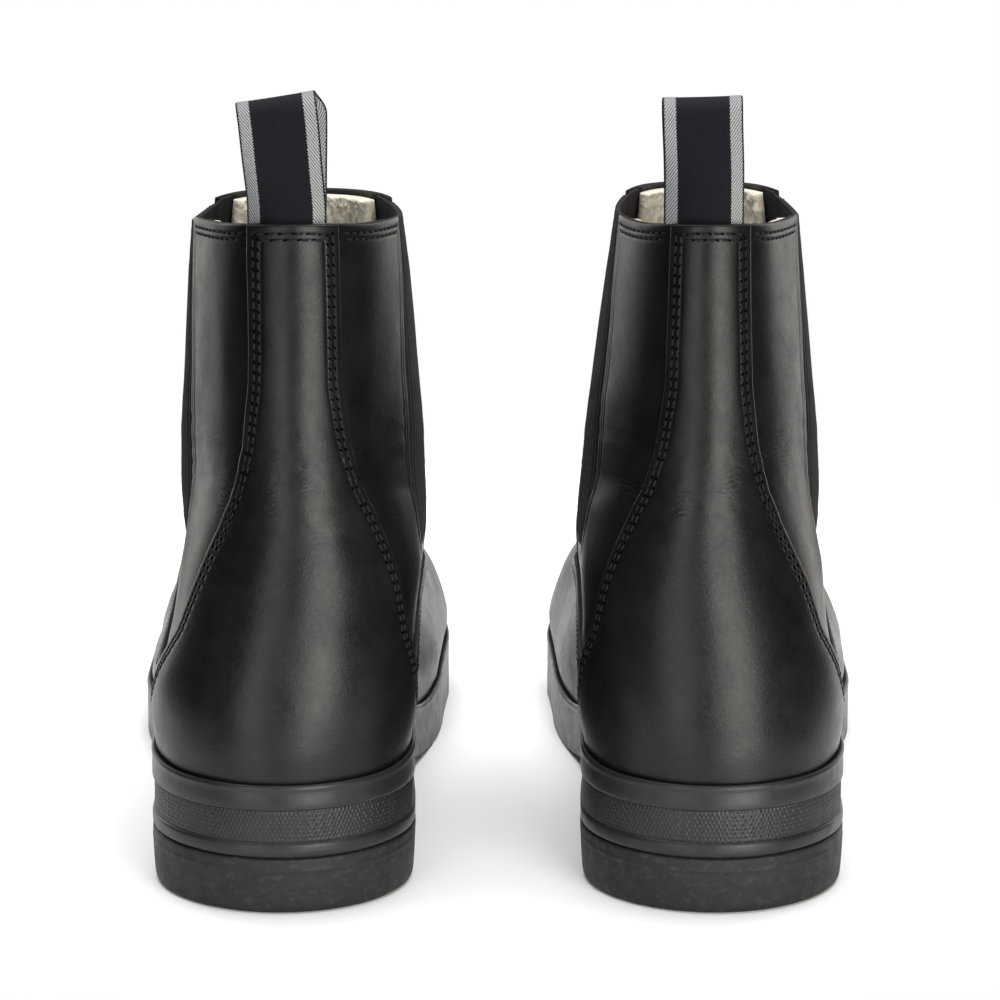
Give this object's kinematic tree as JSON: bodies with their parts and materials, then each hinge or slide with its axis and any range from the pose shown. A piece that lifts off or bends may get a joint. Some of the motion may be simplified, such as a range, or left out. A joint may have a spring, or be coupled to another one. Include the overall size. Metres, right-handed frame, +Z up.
{
  "type": "pair of jodhpur boots",
  "caption": "Pair of black leather ankle riding boots with elastic side gussets, pile lining, webbing pull loops and rubber soles with a block heel.",
  "frame": {"origin": "on the ground, midway between the two boots, at the middle of their length", "axes": "+Y towards the toes, +Z up, +X towards the right boot"},
  "size_m": [0.2132, 0.2698, 0.2239],
  "materials": {
    "black_leather": "smooth, semi-gloss",
    "black_elastic": "ribbed, matt",
    "cream_pile": "deep pile",
    "stiffener_board": "matt",
    "insole_board": "matt fibre board",
    "cork_filler": "matt cork",
    "spring_steel": "satin",
    "black_rubber": "satin, moulded",
    "heel_rubber": "scuffed, matt",
    "striped_webbing": "twill, black with grey edges"
  },
  "bodies": {
    "left_boot": {"left_vamp": "black_leather", "left_instep_panel": "black_leather", "left_outer_quarter": "black_leather", "left_inner_quarter": "black_leather", "left_counter_strap": "black_leather", "left_outer_gusset": "black_elastic", "left_inner_gusset": "black_elastic", "left_rear_lining": "cream_pile", "left_foot_lining": "cream_pile", "left_toe_puff": "stiffener_board", "left_heel_stiffener": "stiffener_board", "left_footbed": "cream_pile", "left_insole_board": "insole_board", "left_bottom_filler": "cork_filler", "left_shank": "spring_steel", "left_sole_unit": "black_rubber", "left_heel_block": "heel_rubber", "left_pull_loop_tail": "striped_webbing"},
    "left_front": {"left_front_shaft": "black_leather", "left_front_lining": "cream_pile"},
    "left_loop": {"left_pull_loop": "striped_webbing"},
    "right_boot": {"right_vamp": "black_leather", "right_instep_panel": "black_leather", "right_outer_quarter": "black_leather", "right_inner_quarter": "black_leather", "right_counter_strap": "black_leather", "right_outer_gusset": "black_elastic", "right_inner_gusset": "black_elastic", "right_rear_lining": "cream_pile", "right_foot_lining": "cream_pile", "right_toe_puff": "stiffener_board", "right_heel_stiffener": "stiffener_board", "right_footbed": "cream_pile", "right_insole_board": "insole_board", "right_bottom_filler": "cork_filler", "right_shank": "spring_steel", "right_sole_unit": "black_rubber", "right_heel_block": "heel_rubber", "right_pull_loop_tail": "striped_webbing"},
    "right_front": {"right_front_shaft": "black_leather", "right_front_lining": "cream_pile"},
    "right_loop": {"right_pull_loop": "striped_webbing"}
  },
  "joints": [
    {"name": "left_topline_open", "type": "hinge", "parent": "left_boot", "child": "left_front", "pos_m": [-0.0598, 0.0055, 0.109], "axis": [-1, 0, 0], "range_deg": [0, 10], "stiffness_Nm_per_rad": 1.5, "deforming": ["left_outer_gusset", "left_inner_gusset"]},
    {"name": "left_loop_fold", "type": "hinge", "parent": "left_boot", "child": "left_loop", "pos_m": [-0.0568, -0.1167, 0.1925], "axis": [1, 0, 0], "range_deg": [-60, 80], "stiffness_Nm_per_rad": 0.02},
    {"name": "right_topline_open", "type": "hinge", "parent": "right_boot", "child": "right_front", "pos_m": [0.0598, 0.0055, 0.109], "axis": [-1, 0, 0], "range_deg": [0, 10], "stiffness_Nm_per_rad": 1.5, "deforming": ["right_outer_gusset", "right_inner_gusset"]},
    {"name": "right_loop_fold", "type": "hinge", "parent": "right_boot", "child": "right_loop", "pos_m": [0.0568, -0.1167, 0.1925], "axis": [1, 0, 0], "range_deg": [-60, 80], "stiffness_Nm_per_rad": 0.02},
    {"name": "right_boot_apart", "type": "slide", "parent": "left_boot", "child": "right_boot", "axis": [1, 0, 0], "range_m": [0, 0.2]}
  ]
}
